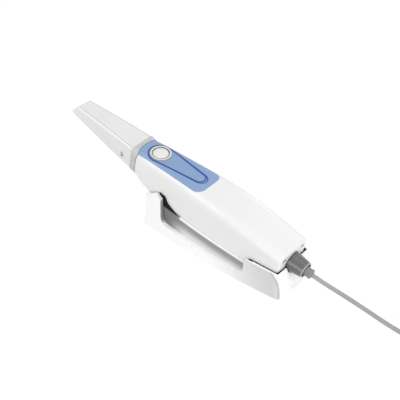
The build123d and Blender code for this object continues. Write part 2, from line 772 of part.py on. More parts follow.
def plug_body():
    """Overmoulded grip of the plug with the tongue that carries its contacts."""
    grip = Box(PLUG_LENGTH, PLUG_WIDTH, PLUG_HEIGHT)
    grip = fillet(grip.edges().filter_by(Axis.X), PLUG_R)
    front = PLUG_LENGTH / 2
    half = CONTACT_WIDTH / 2 - CONTACT_WALL
    roof = CONTACT_HEIGHT / 2 - CONTACT_WALL
    grip += block(front, front + CONTACT_LENGTH - CONTACT_WALL, -half, half, roof - TONGUE_T, roof)
    return PLUG_PLACE * Pos(-CONTACT_LENGTH / 2, 0, 0) * grip


def plug_shell():
    """Folded metal shell round the plug's tongue."""
    shell = Box(CONTACT_LENGTH, CONTACT_WIDTH, CONTACT_HEIGHT)
    inside = Box(CONTACT_LENGTH, CONTACT_WIDTH - 2 * CONTACT_WALL, CONTACT_HEIGHT - 2 * CONTACT_WALL)
    return PLUG_PLACE * Pos(PLUG_LENGTH / 2, 0, 0) * (shell - inside)


def cradle_outline(level, inset=0.0):
    """Boat-shaped plan of the cradle at one height."""
    front = level.front + inset
    rear = level.rear - inset
    middle = (level.front + level.rear) / 2
    near = [
        (front, inset - level.front_half),
        (middle, inset - level.middle_half),
        (rear, inset - level.rear_half),
    ]
    far = [(x, -y) for x, y in reversed(near)]
    sides = [ThreePointArc(*near), Line(near[-1], far[0]), ThreePointArc(*far), Line(far[-1], near[0])]
    face = make_face(sides)
    face = fillet(face.vertices(), CRADLE_CORNER_R)
    return Pos(0, 0, level.height) * face


def cradle_form(inset=0.0):
    """Flared outer form of the cradle, or its hollow at an inset."""
    return loft([cradle_outline(level, inset) for level in CRADLE])


def cradle_profile():
    """Side view of the walls: front prongs, long dips and the rear socket."""
    front = CRADLE[0].front - CRADLE_WALL
    rear = CRADLE[0].rear + CRADLE_WALL
    corners = [
        (front, 0),
        (front, PRONG_FRONT_HEIGHT),
        (PRONG_CREST, PRONG_HEIGHT),
        (PRONG_REAR, PRONG_HEIGHT),
        (PRONG_REAR, DIP_FRONT_HEIGHT),
        (DIP_REAR, DIP_REAR_HEIGHT),
        (DIP_REAR, RIM_HEIGHT),
        (rear, RIM_HEIGHT),
        (rear, 0),
    ]
    radii = [0, 0, 0, PRONG_TOP_R, DIP_R, DIP_R, RIM_R, 0, 0]
    outline = FilletPolyline(*corners, radius=radii, close=True)
    return extrude(Plane.XZ * make_face(outline), amount=BIG, both=True)


def side_prism(corners):
    """Side view outline, drawn across the whole width."""
    return extrude(Plane.XZ * make_face(Polyline(*corners, close=True)), amount=BIG, both=True)


def rail_plan(grow):
    """Upright prism over the body's plan, grown past its sides."""
    near = [(s.at, -s.half - grow) for s in BODY]
    far = [(x, -y) for x, y in reversed(near)]
    sides = [Spline(*near), Line(near[-1], far[0]), Spline(*far), Line(far[-1], near[0])]
    return Pos(0, 0, -BIG / 2) * extrude(make_face(sides), amount=BIG)


def rest_form(grow):
    """Body's form with a layer round it and behind its rear face."""
    behind = extrude(section_face(BODY[-1], grow, BOTTOM_EDGE_R), amount=grow)
    return PLACE * (body_form(grow) + behind)


def relief_notch():
    """Open slot in the rear wall for the strain relief."""
    radius = RELIEF_BASE_R + NOTCH_GAP
    notch = rod(radius, CAVITY_REAR, BIG, z=RELIEF_Z)
    notch += block(CAVITY_REAR, BIG, -radius, radius, RELIEF_Z, BIG)
    return PLACE * notch


def liner_space(x_low, x_high, z_low):
    """Room for a liner between two stations, down to a height."""
    return rest_form(REST_GAP + LINER_T + LINER_FIT) & block(x_low, x_high, -BIG, BIG, z_low, BIG)


def tray_zone(fit):
    """Length of the cradle that the tray fills, above the cradle's floor."""
    return block(PRONG_REAR + fit, TRAY_REAR - fit, -BIG, BIG, CRADLE_FLOOR, BIG)


def cradle():
    """Moulded cradle: solid front prongs, a trough for the tray between dipped walls, rear socket."""
    form = cradle_form() & cradle_profile()
    form -= PLACE * rail_plan(RAIL_SHOW) & tray_zone(0)
    form -= rest_form(REST_GAP)
    form -= liner_space(-BIG, LINER_EDGE[-1][0] + LINER_FIT, 0)
    form -= liner_space(DIP_REAR, BIG, DIP_REAR_HEIGHT + CRADLE_WALL)
    form -= relief_notch()
    for x, y in pad_places():
        form -= post(PAD_R, x, y, 0, PAD_T)
    return form


def cradle_tray():
    """Tray let into the trough: two rails that hold the body's lower flanks and show beside them."""
    below = side_prism([(0, -BIG / 2), (0, RAIL_FRONT_TOP), (BODY_REAR, RAIL_REAR_TOP), (BODY_REAR, -BIG / 2)])
    tray = PLACE * (rail_plan(RAIL_SHOW - TRAY_FIT) & below) & tray_zone(TRAY_FIT)
    well = block(-BIG, BIG, -BIG, BIG, CRADLE_FLOOR + TRAY_T, BIG)
    tray -= PLACE * rail_plan(RAIL_SHOW - RAIL_WIDTH) & well
    tray -= rest_form(REST_GAP)
    tray -= liner_space(-BIG, LINER_EDGE[-1][0] + LINER_FIT, 0)
    return tray - liner_space(DIP_REAR, BIG, DIP_REAR_HEIGHT + CRADLE_WALL)


def liner(zone):
    """Soft layer between the cradle and the body."""
    return (rest_form(REST_GAP + LINER_T) - rest_form(REST_GAP)) & zone - relief_notch()


def front_liner():
    """Liner of the front prongs, with a tail that runs out behind them."""
    front = CRADLE[0].front + CRADLE_WALL
    rear = LINER_EDGE[-1][0]
    return liner(side_prism([(front, 0), (front, PRONG_FRONT_HEIGHT), *LINER_EDGE, (rear, 0)]))


def rear_liner():
    """Liner of the rear socket."""
    low = DIP_REAR_HEIGHT + CRADLE_WALL
    return liner(block(DIP_REAR + RIM_R, BIG, -BIG, BIG, low, RIM_HEIGHT - LINER_INSET))


def pad_places():
    """Plan positions of the foot pads."""
    places = []
    for x in (CRADLE[0].front + PAD_INSET, CRADLE[0].rear - PAD_INSET):
        places += [(x, -PAD_Y), (x, PAD_Y)]
    return places


def foot_pads():
    """Four pads, flush with the cradle's underside."""
    return Compound([post(PAD_R, x, y, 0, PAD_T) for x, y in pad_places()])


wall = hollow_body()
handpiece = {
    "tip_sleeve": tip_sleeve(),
    "tip_mirror": tip_mirror(),
    "tip_latches": tip_latches(),
    "nose_tube": nose_tube(),
    "nose_glass": nose_glass(),
    "collar": collar(),
    "upper_shell": upper_shell(wall),
    "lower_shell": lower_shell(wall),
    "inlay_panel": inlay_panel(),
    "button_bezel": button_bezel(),
    "button_cap": button_cap(),
    "switch_plunger": switch_plunger(),
    "tact_switch": tact_switch(),
    "button_board": button_board(),
    "shell_screws": shell_screws(),
    "optics_chassis": optics_chassis(),
    "camera_left": camera_module(1),
    "camera_right": camera_module(-1),
    "projector_module": projector_module(),
    "heat_sink": heat_sink(),
    "main_board": main_board(),
    "strain_relief": strain_relief(),
    "cable_bush": cable_bush(),
}
parts = {name: PLACE * shape for name, shape in handpiece.items()}
parts["cradle"] = cradle()
parts["cradle_tray"] = cradle_tray()
parts["front_liner"] = front_liner()
parts["rear_liner"] = rear_liner()
parts["foot_pads"] = foot_pads()
parts["cord"] = cord()
parts["cord_coil"] = cord_coil()
parts["cord_tie"] = cord_tie()
parts["plug_body"] = plug_body()
parts["plug_shell"] = plug_shell()

# The origin lies on the floor, under the middle of the whole length
front_x = parts["tip_sleeve"].bounding_box().min.X
rear_x = parts["cable_bush"].bounding_box().max.X
centring = Pos(-(front_x + rear_x) / 2, 0, 0)
print("middle of the length", (front_x + rear_x) / 2)

os.makedirs("parts", exist_ok=True)
for name, shape in parts.items():
    export_step(centring * shape, f"parts/{name}.step")
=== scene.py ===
from math import cos, pi, radians, sin, sqrt

import bmesh
import bpy
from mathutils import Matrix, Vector


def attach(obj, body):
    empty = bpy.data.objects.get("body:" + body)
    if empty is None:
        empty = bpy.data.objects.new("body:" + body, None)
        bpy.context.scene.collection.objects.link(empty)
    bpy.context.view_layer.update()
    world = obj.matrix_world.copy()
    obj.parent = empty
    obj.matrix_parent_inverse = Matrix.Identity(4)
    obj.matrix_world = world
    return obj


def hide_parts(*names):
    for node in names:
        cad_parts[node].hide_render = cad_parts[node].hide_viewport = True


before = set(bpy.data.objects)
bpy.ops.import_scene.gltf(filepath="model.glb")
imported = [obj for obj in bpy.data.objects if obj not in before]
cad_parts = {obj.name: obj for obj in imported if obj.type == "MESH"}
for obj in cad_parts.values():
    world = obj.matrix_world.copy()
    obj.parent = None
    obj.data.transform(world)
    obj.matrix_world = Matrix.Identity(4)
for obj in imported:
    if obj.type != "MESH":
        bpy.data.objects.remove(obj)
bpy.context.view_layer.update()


# Row frame of the desk, and the handpiece's slope on it

MM = 0.001
SHIFT_X = -57.7194
TILT = 10.0
COLLAR_HEIGHT = 73.0


def row(x, y, z):
    """Point of the row frame, in metres, from millimetres behind the collar's foot."""
    return Vector(((x + SHIFT_X) * MM, y * MM, z * MM))


# Camera at the photograph's viewing angle

AIM = row(74.017, 0.0, 40.2)
SIGHT = Vector((0.4975, -0.5825, 0.6428))
DISTANCE = 0.95714

camera_data = bpy.data.cameras.new("camera")
camera_data.lens = 90.0
camera_data.sensor_width = 36.0
camera = bpy.data.objects.new("camera", camera_data)
camera.location = AIM + SIGHT.normalized() * DISTANCE
camera.rotation_euler = SIGHT.to_track_quat("Z", "Y").to_euler()
bpy.context.collection.objects.link(camera)
bpy.context.scene.camera = camera


# Cord: the stretch in view, then the coil and the plug's tail

CORD_R = 2.0
CORD_STRETCH = [
    (206.614, 0.0, 24.485),
    (216.462, 0.0, 22.748),
    (233.0, 3.6, 17.4),
    (249.0, 7.2, 11.8),
    (265.0, 9.8, 6.8),
    (281.0, 11.0, 3.4),
    (297.0, 11.3, 2.1),
    (312.0, 11.1, 2.4),
]
COIL_X = 326.0
COIL_Y = 41.65
COIL_PITCH = 4.1
COIL_LOW = 3.0
COIL_OUTER_TURN = 30.15
COIL_INNER_TURN = 17.85
COIL_TURNS = 3
COIL_LAYERS = 4
TURN_POINTS = 16
PLUG_TAIL = [
    (295.5, 35.6, 16.4),
    (297.0, 29.6, 18.6),
    (301.2, 24.6, 20.5),
    (307.2, 21.3, 21.3),
    (311.5, 20.65, 21.3),
    (314.5, 20.65, 21.3),
]


def coil_points():
    """Points of the coil's turns, layer on layer, in and out, with a quarter turn up between layers."""
    widening = 1 / cos(pi / TURN_POINTS) ** 2
    step = 360.0 / TURN_POINTS
    rise_steps = TURN_POINTS // 4
    layer_steps = COIL_TURNS * TURN_POINTS
    span = COIL_OUTER_TURN - COIL_INNER_TURN
    angle = -90.0
    points = []
    for layer in range(COIL_LAYERS):
        inward = layer % 2 == 0
        height = COIL_LOW + layer * COIL_PITCH
        for index in range(layer_steps + 1):
            part = index / layer_steps
            radius = COIL_OUTER_TURN - span * part if inward else COIL_INNER_TURN + span * part
            points.append((angle, radius, height))
            angle += step
        angle -= step
        if layer < COIL_LAYERS - 1:
            for index in range(1, rise_steps):
                points.append((angle + step * index, points[-1][1], height + COIL_PITCH * index / rise_steps))
            angle += step * rise_steps
    return [
        (
            COIL_X + widening * radius * cos(radians(turn)),
            COIL_Y + widening * radius * sin(radians(turn)),
            height,
        )
        for turn, radius, height in points
    ]


def make_cord():
    """Cord as one smooth spline from the bush to the plug."""
    route = CORD_STRETCH + coil_points() + PLUG_TAIL
    curve = bpy.data.curves.new("cord_line", "CURVE")
    curve.dimensions = "3D"
    curve.bevel_depth = CORD_R * MM
    curve.bevel_resolution = 3
    curve.resolution_u = 3
    curve.use_fill_caps = True
    spline = curve.splines.new("NURBS")
    spline.points.add(len(route) - 1)
    for point, place in zip(spline.points, route):
        point.co = (*row(*place), 1.0)
    spline.order_u = 3
    spline.use_endpoint_u = True
    piece = bpy.data.objects.new("cord_line", curve)
    bpy.context.collection.objects.link(piece)
    return piece


# Tie round the coil

TIE_T = 0.9
TIE_HALF_ANGLE = 11.5
TIE_ANGLE = 75.0
TIE_COLUMNS = 12
TIE_CORNER = 2.6
TIE_CORNER_STEPS = 5
TIE_GAP = 0.05
TIE_EDGE = 0.3
COIL_BASE = COIL_LOW - CORD_R
COIL_HIGH = COIL_LOW + (COIL_LAYERS - 1) * COIL_PITCH + CORD_R
COIL_OUTER = COIL_OUTER_TURN + CORD_R
COIL_INNER = COIL_INNER_TURN - CORD_R


def tie_loop(gap):
    """Rounded loop round the coil's section, as (radius, height) pairs."""
    outer = COIL_OUTER - TIE_CORNER
    inner = COIL_INNER + TIE_CORNER
    high = COIL_HIGH - TIE_CORNER
    low = COIL_BASE + TIE_CORNER
    corner = TIE_CORNER + gap
    loop = []
    middles = [(outer, high), (inner, high), (inner, low), (outer, low)]
    for quarter, (radius, height) in enumerate(middles):
        for index in range(TIE_CORNER_STEPS + 1):
            turn = radians(90.0 * (quarter + index / TIE_CORNER_STEPS))
            loop.append((radius + corner * cos(turn), height + corner * sin(turn)))
    return loop


def make_tie():
    """Woven band wound once round the turns."""
    mesh = bpy.data.meshes.new("coil_band")
    shell = bmesh.new()
    inner = tie_loop(TIE_GAP)
    outer = tie_loop(TIE_GAP + TIE_T)
    rings = []
    for column in range(TIE_COLUMNS + 1):
        across = 2 * column / TIE_COLUMNS - 1
        turn = radians(TIE_ANGLE + TIE_HALF_ANGLE * across)
        ring = []
        for loop in (inner, outer):
            ring.append([
                shell.verts.new(row(COIL_X + radius * cos(turn), COIL_Y + radius * sin(turn), height))
                for radius, height in loop
            ])
        rings.append(ring)
    count = len(inner)
    for left, right in zip(rings[:-1], rings[1:]):
        for index in range(count):
            after = (index + 1) % count
            shell.faces.new((left[1][index], right[1][index], right[1][after], left[1][after]))
            shell.faces.new((left[0][after], right[0][after], right[0][index], left[0][index]))
    for ring, order in ((rings[0], 1), (rings[-1], -1)):
        for index in range(count):
            after = (index + 1) % count
            corners = (ring[0][index], ring[1][index], ring[1][after], ring[0][after])
            shell.faces.new(corners[::order])
    bmesh.ops.recalc_face_normals(shell, faces=shell.faces)
    shell.to_mesh(mesh)
    shell.free()
    for face in mesh.polygons:
        face.use_smooth = True
    piece = bpy.data.objects.new("coil_band", mesh)
    bpy.context.collection.objects.link(piece)
    soft = piece.modifiers.new("soft edges", "BEVEL")
    soft.width = TIE_EDGE * MM
    soft.segments = 2
    soft.limit_method = "ANGLE"
    soft.angle_limit = radians(50)
    return piece


# Cradle and front liner with the prongs' finished slope, as side view lines of (x, height)

PRONG_LINE = [(0.0, 20.5), (39.6, 44.2), (45.7, 39.6)]
# The black liner's top line sets how much of it shows as painted shade in the gap under the handpiece.
SHADE_LINER_LINE = [(0.0, 18.3), (37.4, 39.8), (41.0, 45.6)]


def lowered(node, name, line):
    """Copy of a node whose top comes down to a line in side view."""
    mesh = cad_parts[node].data.copy()
    mesh.name = name
    for vertex in mesh.vertices:
        x = vertex.co.x / MM - SHIFT_X
        for (x_start, z_start), (x_end, z_end) in zip(line, line[1:]):
            if x_start <= x <= x_end:
                top = z_start + (z_end - z_start) * (x - x_start) / (x_end - x_start)
                vertex.co.z = min(vertex.co.z, top * MM)
    piece = bpy.data.objects.new(name, mesh)
    bpy.context.collection.objects.link(piece)
    return piece


# Node helpers

def place_node(tree, kind, **settings):
    """New node with its properties set."""
    node = tree.nodes.new(kind)
    for name, value in settings.items():
        setattr(node, name, value)
    return node


def feed(tree, socket, value):
    """Set an input to a number or colour, or link a socket to it."""
    if isinstance(value, bpy.types.NodeSocket):
        tree.links.new(value, socket)
    else:
        socket.default_value = value


def work_out(tree, operation, *values):
    """Math node's result."""
    node = place_node(tree, "ShaderNodeMath", operation=operation)
    for socket, value in zip(node.inputs, values):
        feed(tree, socket, value)
    return node.outputs[0]


def fade(tree, value, low, high, from_value=0.0, to_value=1.0):
    """Smooth step of a value between two limits."""
    node = place_node(tree, "ShaderNodeMapRange", interpolation_type="SMOOTHSTEP")
    feed(tree, node.inputs["Value"], value)
    node.inputs["From Min"].default_value = low
    node.inputs["From Max"].default_value = high
    node.inputs["To Min"].default_value = from_value
    node.inputs["To Max"].default_value = to_value
    return node.outputs["Result"]


def past(tree, value, limit, soft):
    """1 past a limit, with a soft edge."""
    return fade(tree, value, limit - soft, limit + soft)


def short_of(tree, value, limit, soft):
    """1 short of a limit, with a soft edge."""
    return fade(tree, value, limit - soft, limit + soft, 1.0, 0.0)


def within(tree, value, middle, half, soft):
    """1 up to half a width from a middle, with soft edges."""
    return short_of(tree, work_out(tree, "ABSOLUTE", work_out(tree, "SUBTRACT", value, middle)), half, soft)


def distance(tree, across, along):
    """Distance from two sides of a right angle."""
    squares = [work_out(tree, "MULTIPLY", side, side) for side in (across, along)]
    return work_out(tree, "SQRT", work_out(tree, "ADD", *squares))


def spread(tree, value, low, high):
    """Value from 0 to 1 spread between two limits."""
    node = place_node(tree, "ShaderNodeMapRange")
    feed(tree, node.inputs["Value"], value)
    node.inputs["To Min"].default_value = low
    node.inputs["To Max"].default_value = high
    return node.outputs["Result"]


def blend_colours(tree, share, first, second):
    """Mix of two colours by a share."""
    node = place_node(tree, "ShaderNodeMix", data_type="RGBA")
    feed(tree, node.inputs[0], share)
    feed(tree, node.inputs[6], first)
    feed(tree, node.inputs[7], second)
    return node.outputs[2]


def grey(level):
    """Neutral colour."""
    return (level, level, level, 1.0)


# Shared effects

def make_grain_group():
    """Fine moulded grain and broad soft patches."""
    tree = bpy.data.node_groups.new("moulded grain", "ShaderNodeTree")
    face = tree.interface
    face.new_socket("Grain scale", in_out="INPUT", socket_type="NodeSocketFloat")
    face.new_socket("Patch scale", in_out="INPUT", socket_type="NodeSocketFloat")
    face.new_socket("Height", in_out="OUTPUT", socket_type="NodeSocketFloat")
    face.new_socket("Patch", in_out="OUTPUT", socket_type="NodeSocketFloat")
    given = place_node(tree, "NodeGroupInput")
    result = place_node(tree, "NodeGroupOutput")
    place = place_node(tree, "ShaderNodeTexCoord").outputs["Object"]
    grain = place_node(tree, "ShaderNodeTexNoise")
    grain.inputs["Detail"].default_value = 3.0
    grain.inputs["Roughness"].default_value = 0.6
    patch = place_node(tree, "ShaderNodeTexNoise")
    patch.inputs["Detail"].default_value = 2.0
    tree.links.new(place, grain.inputs["Vector"])
    tree.links.new(place, patch.inputs["Vector"])
    tree.links.new(given.outputs["Grain scale"], grain.inputs["Scale"])
    tree.links.new(given.outputs["Patch scale"], patch.inputs["Scale"])
    tree.links.new(grain.outputs[0], result.inputs["Height"])
    tree.links.new(fade(tree, patch.outputs[0], 0.3, 0.7), result.inputs["Patch"])
    return tree


def make_place_group():
    """Place on the handpiece in millimetres: along it, across it and above its axis."""
    tree = bpy.data.node_groups.new("handpiece place", "ShaderNodeTree")
    for name in ("Along", "Across", "Above"):
        tree.interface.new_socket(name, in_out="OUTPUT", socket_type="NodeSocketFloat")
    result = place_node(tree, "NodeGroupOutput")
    place = place_node(tree, "ShaderNodeTexCoord").outputs["Object"]
    turn = place_node(tree, "ShaderNodeMapping", vector_type="TEXTURE")
    turn.inputs["Location"].default_value = row(0.0, 0.0, COLLAR_HEIGHT)
    turn.inputs["Rotation"].default_value = (0.0, radians(TILT), 0.0)
    turn.inputs["Scale"].default_value = (MM, MM, MM)
    tree.links.new(place, turn.inputs["Vector"])
    parts = place_node(tree, "ShaderNodeSeparateXYZ")
    tree.links.new(turn.outputs[0], parts.inputs[0])
    for source, name in zip(parts.outputs, ("Along", "Across", "Above")):
        tree.links.new(source, result.inputs[name])
    return tree


GRAIN = make_grain_group()
PLACE = make_place_group()


def start_material(name):
    """Empty node material with its shader."""
    material = bpy.data.materials.new(name)
    material.use_nodes = True
    tree = material.node_tree
    tree.nodes.clear()
    shader = place_node(tree, "ShaderNodeBsdfPrincipled")
    output = place_node(tree, "ShaderNodeOutputMaterial")
    tree.links.new(shader.outputs[0], output.inputs["Surface"])
    return material, tree, shader


def grain_of(tree, grain_mm, patch_mm):
    """Grain group set to the sizes of a finish."""
    group = place_node(tree, "ShaderNodeGroup", node_tree=GRAIN)
    group.inputs["Grain scale"].default_value = 1 / (grain_mm * MM)
    group.inputs["Patch scale"].default_value = 1 / (patch_mm * MM)
    return group.outputs["Height"], group.outputs["Patch"]


def roughen(tree, shader, height, depth_mm, strength=1.0):
    """Bump of a finish from its height."""
    bump = place_node(tree, "ShaderNodeBump")
    bump.inputs["Distance"].default_value = depth_mm * MM
    bump.inputs["Strength"].default_value = strength
    tree.links.new(height, bump.inputs["Height"])
    tree.links.new(bump.outputs[0], shader.inputs["Normal"])


def moulded(name, low, high, rough_low, rough_high, grain_mm=0.5, patch_mm=40.0, depth_mm=0.004, coat=0.0):
    """Moulded plastic or rubber: two near tones in soft patches, with grain and uneven gloss."""
    material, tree, shader = start_material(name)
    height, patch = grain_of(tree, grain_mm, patch_mm)
    feed(tree, shader.inputs["Base Color"], blend_colours(tree, patch, low, high))
    feed(tree, shader.inputs["Roughness"], spread(tree, patch, rough_low, rough_high))
    shader.inputs["Coat Weight"].default_value = coat
    shader.inputs["Coat Roughness"].default_value = 0.1
    roughen(tree, shader, height, depth_mm)
    return material


def brushed(name, low, high, rough_low, rough_high, stretch=(1.0, 12.0, 12.0)):
    """Metal with a fine directional brushing."""
    material, tree, shader = start_material(name)
    place = place_node(tree, "ShaderNodeTexCoord").outputs["Object"]
    drawn = place_node(tree, "ShaderNodeMapping")
    drawn.inputs["Scale"].default_value = stretch
    tree.links.new(place, drawn.inputs["Vector"])
    lines = place_node(tree, "ShaderNodeTexNoise")
    lines.inputs["Scale"].default_value = 400.0
    lines.inputs["Detail"].default_value = 4.0
    tree.links.new(drawn.outputs[0], lines.inputs["Vector"])
    feed(tree, shader.inputs["Base Color"], blend_colours(tree, lines.outputs[0], low, high))
    feed(tree, shader.inputs["Roughness"], spread(tree, lines.outputs[0], rough_low, rough_high))
    shader.inputs["Metallic"].default_value = 1.0
    roughen(tree, shader, lines.outputs[0], 0.004)
    return material


# Places on the object that the finishes follow, in millimetres

BUTTON_AT = 24.4
BUTTON_WELL_R = 8.5
BEZEL_EDGE_R = 10.5
LINE_OUTER = (12.6, 75.0, 7.0)
LINE_INNER = (11.4, 73.4, 5.2)
LINE_HALF = 0.7
LINE_OUTER_MIDDLE = -0.55
LINE_INNER_MIDDLE = 0.5
COLLAR_REAR = 7.8
COLLAR_SIDE_TOP = -2.0
COLLAR_LINE = 0.5
ARCH_CROWN = 2.9
ARCH_HALF = 13.9
ARCH_RISE = ARCH_CROWN / ARCH_HALF ** 2
CREASE_AT = 12.5
CREASE_TAPER = 0.0685
CREASE_HALF = 0.5
CREASE_STRIP_AT = 1.2
CREASE_STRIP_HALF = 0.6
VENT_Y = 13.6
VENT_Z = -2.45
VENT_HALF_LENGTH = 2.4
VENT_HALF_HEIGHT = 0.9
VENT_FRONT = 181.0
VENT_REAR = 188.9
RELIEF_Z = -11.9
RELIEF_ROOT = 189.7
RELIEF_RIM = 204.8
RELIEF_UNDERSIDE = -4.0
RAIL_FRONT_TOP = -36.7
RAIL_REAR_TOP = -23.2
RAIL_LENGTH = 188.5
RAIL_SLOPE = (RAIL_REAR_TOP - RAIL_FRONT_TOP) / RAIL_LENGTH
RAIL_STRIP = 1.05
RAIL_STRIP_START = 74.5
RAIL_SHADE = (4.5, 15.0)
TRAY_SHADE = (60.0, 88.0)
CRADLE_END = 188.2
CRADLE_ROLL = 10.5
CRADLE_RIM = 27.3
CRADLE_HALF = 22.0
CRADLE_SHADE = (95.0, 6.0)
CRADLE_STRIP = 3.5
PRONG_BACK = 59.0


# Finishes

def drop_distance(tree, along, across, front_r, rear_at, rear_r):
    """Distance outside a drop outline round the button: two circles and their tangents."""
    length = rear_at - BUTTON_AT
    lean = (front_r - rear_r) / length
    rise = sqrt(1 - lean * lean)
    side = work_out(tree, "ABSOLUTE", across)
    back = work_out(tree, "SUBTRACT", along, BUTTON_AT)
    behind = work_out(tree, "SUBTRACT", back, length)
    to_front = distance(tree, side, back)
    to_rear = distance(tree, side, behind)
    straight = work_out(tree, "ADD", work_out(tree, "MULTIPLY", side, rise),
                        work_out(tree, "MULTIPLY", back, lean))
    level = work_out(tree, "SUBTRACT", work_out(tree, "MULTIPLY", back, rise),
                     work_out(tree, "MULTIPLY", side, lean))
    past_front = work_out(tree, "GREATER_THAN", level, 0.0)
    past_rear = work_out(tree, "GREATER_THAN", level, rise * length)
    near_front = work_out(tree, "SUBTRACT", to_front, front_r)
    near_side = work_out(tree, "SUBTRACT", straight, front_r)
    near_rear = work_out(tree, "SUBTRACT", to_rear, rear_r)
    mid = place_node(tree, "ShaderNodeMix")
    feed(tree, mid.inputs[0], past_front)
    feed(tree, mid.inputs[2], near_front)
    feed(tree, mid.inputs[3], near_side)
    end = place_node(tree, "ShaderNodeMix")
    feed(tree, end.inputs[0], past_rear)
    feed(tree, end.inputs[2], mid.outputs[0])
    feed(tree, end.inputs[3], near_rear)
    return end.outputs[0]


def inlay_finish():
    """Satin blue panel, a little greyer inside the drop, with painted shade as the dark line in its groove.
    """
    material, tree, shader = start_material("inlay_blue")
    place = place_node(tree, "ShaderNodeGroup", node_tree=PLACE)
    along = place.outputs["Along"]
    across = place.outputs["Across"]
    outer = drop_distance(tree, along, across, *LINE_OUTER)
    inner = drop_distance(tree, along, across, *LINE_INNER)
    height, patch = grain_of(tree, 0.5, 30.0)
    border = blend_colours(tree, patch, (0.212, 0.325, 0.540, 1.0), (0.222, 0.337, 0.555, 1.0))
    field = blend_colours(tree, patch, (0.200, 0.315, 0.515, 1.0), (0.210, 0.326, 0.530, 1.0))
    panel = blend_colours(tree, past(tree, outer, -0.3, 0.3), field, border)
    # Painted shade: the dark line along both drop outlines stands in for the groove's shadow.
    outer_groove_shade = within(tree, outer, LINE_OUTER_MIDDLE, LINE_HALF, 0.25)
    inner_groove_shade = within(tree, inner, LINE_INNER_MIDDLE, LINE_HALF, 0.25)
    line = work_out(tree, "MAXIMUM", outer_groove_shade, inner_groove_shade)
    feed(tree, shader.inputs["Base Color"], blend_colours(tree, line, panel, (0.030, 0.085, 0.320, 1.0)))
    feed(tree, shader.inputs["Roughness"], spread(tree, patch, 0.34, 0.42))
    roughen(tree, shader, height, 0.003)
    return material


def shell_finish():
    """White body shell, with painted shade in and a little round its two vents."""
    material, tree, shader = start_material("shell_white")
    place = place_node(tree, "ShaderNodeGroup", node_tree=PLACE)
    height, patch = grain_of(tree, 0.5, 50.0)
    white = blend_colours(tree, patch, grey(0.768), grey(0.782))
    side = work_out(tree, "ABSOLUTE", place.outputs["Across"])
    # Painted shade: near black in the vents, a little taller than the slots so it reads as their shadow.
    in_length = within(tree, side, VENT_Y, VENT_HALF_LENGTH, 0.1)
    in_height = within(tree, place.outputs["Above"], VENT_Z, VENT_HALF_HEIGHT, 0.05)
    in_slot = work_out(tree, "MULTIPLY", in_length, in_height)
    before_face = short_of(tree, place.outputs["Along"], VENT_REAR, 0.1)
    behind = past(tree, place.outputs["Along"], VENT_FRONT, 1.0)
    vent_shade = work_out(tree, "MULTIPLY", in_slot, work_out(tree, "MULTIPLY", before_face, behind))
    feed(tree, shader.inputs["Base Color"], blend_colours(tree, vent_shade, white, grey(0.02)))
    feed(tree, shader.inputs["Roughness"], spread(tree, patch, 0.28, 0.36))
    shader.inputs["Coat Weight"].default_value = 0.15
    shader.inputs["Coat Roughness"].default_value = 0.1
    roughen(tree, shader, height, 0.002)
    return material


def collar_finish():
    """Satin grey collar with painted shade along its rear edge."""
    material, tree, shader = start_material("collar_grey")
    place = place_node(tree, "ShaderNodeGroup", node_tree=PLACE)
    height, patch = grain_of(tree, 0.5, 12.0)
    satin = blend_colours(tree, patch, grey(0.495), grey(0.515))
    side = place.outputs["Across"]
    arch = work_out(tree, "MULTIPLY", work_out(tree, "MULTIPLY", side, side), ARCH_RISE)
    crown = work_out(tree, "MINIMUM", work_out(tree, "ADD", arch, COLLAR_REAR - ARCH_CROWN), COLLAR_REAR)
    on_side = short_of(tree, place.outputs["Above"], COLLAR_SIDE_TOP, 0.5)
    edge = work_out(tree, "MAXIMUM", crown, work_out(tree, "MULTIPLY", on_side, COLLAR_REAR))
    to_edge = work_out(tree, "SUBTRACT", edge, place.outputs["Along"])
    # Painted shade: a dark line along the collar's rear edge.
    line = short_of(tree, to_edge, COLLAR_LINE, 0.25)
    feed(tree, shader.inputs["Base Color"], blend_colours(tree, line, satin, (0.10, 0.10, 0.11, 1.0)))
    feed(tree, shader.inputs["Roughness"], spread(tree, patch, 0.38, 0.48))
    roughen(tree, shader, height, 0.004)
    return material


def relief_finish():
    """Glossy grey strain relief, with a painted highlight at its end and painted shade underneath and where
    it meets the shell.
    """
    material, tree, shader = start_material("relief_rubber")
    place = place_node(tree, "ShaderNodeGroup", node_tree=PLACE)
    along = place.outputs["Along"]
    height, patch = grain_of(tree, 0.35, 6.0)
    body = blend_colours(tree, patch, grey(0.085), grey(0.105))
    # Painted shade: darker where the relief meets the shell and on its underside.
    root = past(tree, along, RELIEF_ROOT, 1.3)
    root_shaded = blend_colours(tree, root, grey(0.02), body)
    from_axis = work_out(tree, "SUBTRACT", place.outputs["Above"], RELIEF_Z)
    underside_shade = short_of(tree, from_axis, RELIEF_UNDERSIDE, 3.0)
    shaded = blend_colours(tree, underside_shade, root_shaded, grey(0.015))
    # Painted highlight: paler grey at the end ring.
    rim_highlight = past(tree, along, RELIEF_RIM, 0.4)
    feed(tree, shader.inputs["Base Color"], blend_colours(tree, rim_highlight, shaded, grey(0.42)))
    feed(tree, shader.inputs["Roughness"], spread(tree, patch, 0.26, 0.32))
    shader.inputs["Coat Weight"].default_value = 0.5
    shader.inputs["Coat Roughness"].default_value = 0.22
    roughen(tree, shader, height, 0.004)
    return material


